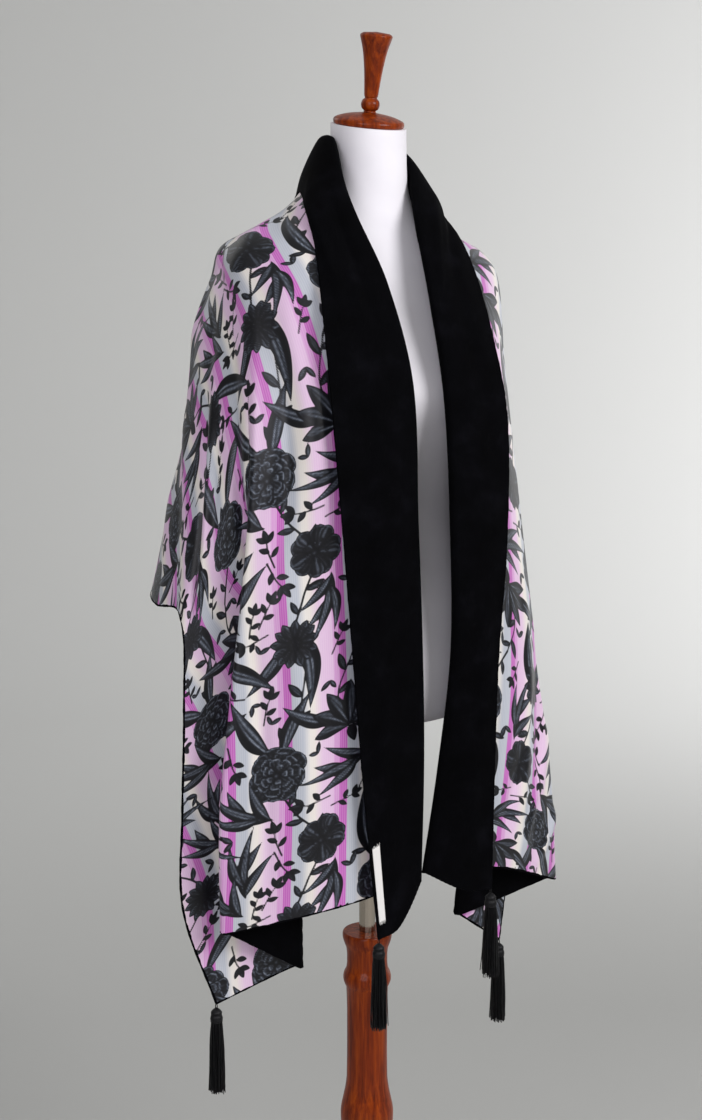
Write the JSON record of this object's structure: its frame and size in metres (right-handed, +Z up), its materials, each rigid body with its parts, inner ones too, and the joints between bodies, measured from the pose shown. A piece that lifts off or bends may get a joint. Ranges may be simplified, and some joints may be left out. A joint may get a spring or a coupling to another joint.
{
  "type": "evening stole on a dress form",
  "caption": "Long printed silk and velvet stole with tassels at its corners, worn as a shawl collar round the neck of a limbless dress form on a turned stand.",
  "frame": {"origin": "middle of the round base's flat underside, where the stand meets the floor", "axes": "+Z up the stand; the dress form faces -Y; its own right side is -X"},
  "size_m": [0.4989, 0.36, 1.6568],
  "materials": {
    "silk": "silk satin printed with black botanicals over soft pink, grey and cream stripes",
    "velvet": "deep black silk velvet pile",
    "tassel": "glossy black rayon thread",
    "label": "plain woven cream tape, blank",
    "form_cover": "white jersey stretched smooth",
    "wood": "turned hardwood, stained red-brown and lacquered to a gloss",
    "chrome": "polished chrome plate"
  },
  "bodies": {
    "root": {"silk_right_front": "silk", "silk_back": "silk", "silk_left_front": "silk", "velvet_right_front": "velvet", "velvet_back": "velvet", "velvet_left_front": "velvet", "tassel_right_lower": "tassel", "tassel_right_band": "tassel", "tassel_left_band": "tassel", "tassel_left_lower": "tassel", "label": "label", "form_torso": "form_cover", "neck_cap": "wood", "neck_finial": "wood", "stand_post": "wood", "stand_base": "wood", "stand_rod": "chrome"}
  },
  "joints": []
}
